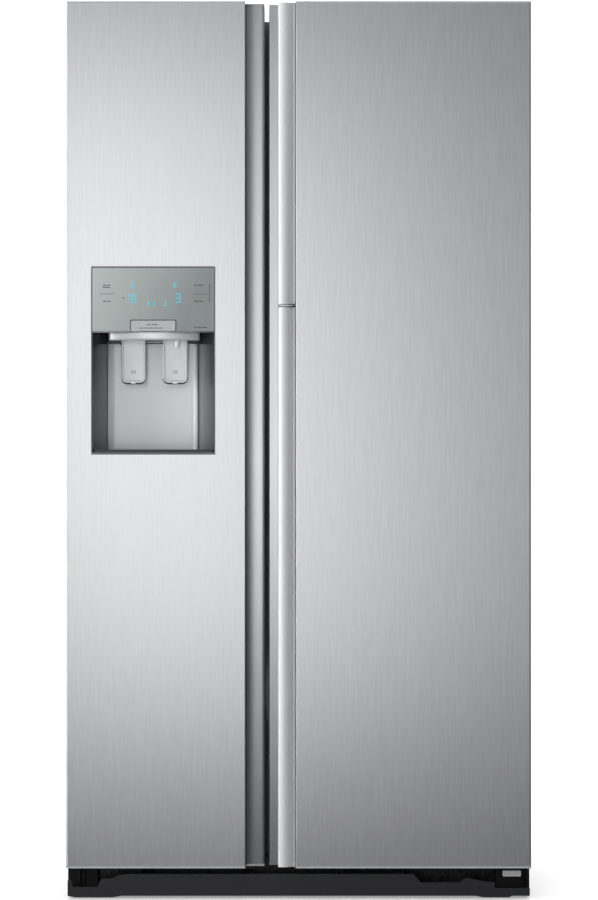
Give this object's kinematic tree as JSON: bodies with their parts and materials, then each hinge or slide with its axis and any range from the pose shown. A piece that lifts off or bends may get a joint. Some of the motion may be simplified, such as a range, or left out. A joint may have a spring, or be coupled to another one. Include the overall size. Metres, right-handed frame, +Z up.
{
  "type": "side by side refrigerator",
  "caption": "Tall side by side refrigerator in brushed steel with a through-the-door ice and water dispenser and a split-handle door within a door.",
  "frame": {"origin": "on the floor under the centre of the bounding box", "axes": "+Z up, the doors face -Y, +X to the right of someone facing the doors"},
  "size_m": [0.912, 0.754, 1.762],
  "materials": {
    "door_steel": "satin",
    "handle_metal": "satin",
    "silver_trim": "satin",
    "door_cap": "satin",
    "cabinet_paint": "satin",
    "plain_steel": "satin",
    "foam": "matte",
    "liner_white": "gloss",
    "clear_plastic": "gloss",
    "shelf_glass": "polished",
    "gasket_grey": "matte",
    "dispenser_grey": "satin",
    "panel_glass": "gloss",
    "white_plastic": "satin",
    "dark_plastic": "satin",
    "fin_metal": "satin",
    "compressor_black": "satin"
  },
  "bodies": {
    "cabinet": {"cabinet_wrap": "cabinet_paint", "back_panel": "plain_steel", "base_frame": "plain_steel", "insulation": "foam", "freezer_liner": "liner_white", "fridge_liner": "liner_white", "freezer_duct_cover": "liner_white", "fridge_duct_cover": "liner_white", "evaporator": "fin_metal", "freezer_shelves": "shelf_glass", "fridge_shelves": "shelf_glass", "ice_maker": "liner_white", "water_filter": "white_plastic", "compressor": "compressor_black", "condenser": "fin_metal", "rear_cover": "plain_steel", "water_valve": "white_plastic", "power_inlet": "dark_plastic", "hinges": "plain_steel", "hinge_covers": "cabinet_paint", "kick_plate": "dark_plastic"},
    "freezer_door": {"freezer_door_skin": "door_steel", "freezer_grip": "handle_metal", "freezer_door_core": "foam", "freezer_door_liner": "liner_white", "freezer_door_caps": "door_cap", "freezer_gasket": "gasket_grey", "freezer_door_bins": "clear_plastic", "dispenser_housing": "dispenser_grey", "control_panel": "panel_glass", "chute_trim": "silver_trim", "water_nozzle": "white_plastic", "ice_bucket": "clear_plastic"},
    "inner_door": {"inner_door_frame": "liner_white", "inner_door_trim": "handle_metal", "showcase_hinges": "plain_steel", "inner_gasket": "gasket_grey", "inner_bins": "clear_plastic", "lower_handle": "handle_metal"},
    "showcase_door": {"showcase_skin": "door_steel", "showcase_core": "foam", "showcase_liner": "liner_white", "showcase_caps": "door_cap", "showcase_gasket": "gasket_grey", "upper_handle": "handle_metal"},
    "freezer_fan": {"freezer_fan": "white_plastic"},
    "condenser_fan": {"condenser_fan": "white_plastic"},
    "freezer_drawer_upper": {"freezer_drawer_upper": "clear_plastic"},
    "freezer_drawer_lower": {"freezer_drawer_lower": "clear_plastic"},
    "crisper_upper": {"crisper_upper": "clear_plastic"},
    "crisper_lower": {"crisper_lower": "clear_plastic"},
    "roller_left": {"roller_left": "dark_plastic"},
    "roller_right": {"roller_right": "dark_plastic"},
    "foot_left": {"foot_left": "dark_plastic"},
    "foot_right": {"foot_right": "dark_plastic"},
    "ice_lever": {"ice_lever": "silver_trim"},
    "water_lever": {"water_lever": "silver_trim"},
    "drip_tray": {"drip_tray": "dispenser_grey"},
    "ice_flap": {"ice_flap": "white_plastic"},
    "ice_auger": {"ice_auger": "white_plastic"}
  },
  "joints": [
    {"name": "freezer_door_hinge", "type": "hinge", "parent": "cabinet", "child": "freezer_door", "pos_m": [-0.436, -0.275, 0.9], "axis": [0, 0, 1], "range_deg": [-115, 0]},
    {"name": "fridge_door_hinge", "type": "hinge", "parent": "cabinet", "child": "inner_door", "pos_m": [0.436, -0.275, 0.9], "axis": [0, 0, 1], "range_deg": [0, 115]},
    {"name": "showcase_door_hinge", "type": "hinge", "parent": "inner_door", "child": "showcase_door", "pos_m": [0.438, -0.352, 0.9], "axis": [0, 0, 1], "range_deg": [0, 110]},
    {"name": "freezer_drawer_upper_slide", "type": "slide", "parent": "cabinet", "child": "freezer_drawer_upper", "axis": [0, -1, 0], "range_m": [0, 0.08]},
    {"name": "freezer_drawer_lower_slide", "type": "slide", "parent": "cabinet", "child": "freezer_drawer_lower", "axis": [0, -1, 0], "range_m": [0, 0.08]},
    {"name": "crisper_upper_slide", "type": "slide", "parent": "cabinet", "child": "crisper_upper", "axis": [0, -1, 0], "range_m": [0, 0.08]},
    {"name": "crisper_lower_slide", "type": "slide", "parent": "cabinet", "child": "crisper_lower", "axis": [0, -1, 0], "range_m": [0, 0.08]},
    {"name": "freezer_fan_spin", "type": "hinge", "parent": "cabinet", "child": "freezer_fan", "pos_m": [-0.248, 0.287, 1.44], "axis": [0, 1, 0], "continuous": true},
    {"name": "condenser_fan_spin", "type": "hinge", "parent": "cabinet", "child": "condenser_fan", "pos_m": [-0.037, 0.278, 0.122], "axis": [1, 0, 0], "continuous": true},
    {"name": "roller_left_spin", "type": "hinge", "parent": "cabinet", "child": "roller_left", "pos_m": [-0.42, 0.32, 0.02], "axis": [1, 0, 0], "continuous": true},
    {"name": "roller_right_spin", "type": "hinge", "parent": "cabinet", "child": "roller_right", "pos_m": [0.42, 0.32, 0.02], "axis": [1, 0, 0], "continuous": true},
    {"name": "foot_left_height", "type": "slide", "parent": "cabinet", "child": "foot_left", "axis": [0, 0, -1], "range_m": [0, 0.012]},
    {"name": "foot_right_height", "type": "slide", "parent": "cabinet", "child": "foot_right", "axis": [0, 0, -1], "range_m": [0, 0.012]},
    {"name": "ice_lever_pivot", "type": "hinge", "parent": "freezer_door", "child": "ice_lever", "pos_m": [-0.3237, -0.33, 1.102], "axis": [1, 0, 0], "range_deg": [0, 12], "stiffness_Nm_per_rad": 0.6},
    {"name": "water_lever_pivot", "type": "hinge", "parent": "freezer_door", "child": "water_lever", "pos_m": [-0.24185, -0.33, 1.102], "axis": [1, 0, 0], "range_deg": [0, 12], "stiffness_Nm_per_rad": 0.6},
    {"name": "ice_flap_pivot", "type": "hinge", "parent": "freezer_door", "child": "ice_flap", "pos_m": [-0.328, -0.287, 1.235], "axis": [1, 0, 0], "range_deg": [-48, 0]},
    {"name": "ice_auger_spin", "type": "hinge", "parent": "freezer_door", "child": "ice_auger", "pos_m": [-0.262, -0.2, 1.212], "axis": [1, 0, 0], "continuous": true},
    {"name": "drip_tray_slide", "type": "slide", "parent": "freezer_door", "child": "drip_tray", "axis": [0, -1, 0], "range_m": [0, 0.06]}
  ],
  "couplings": [
    {"joint": "ice_flap_pivot", "follows": "ice_lever_pivot", "ratio": -4}
  ]
}
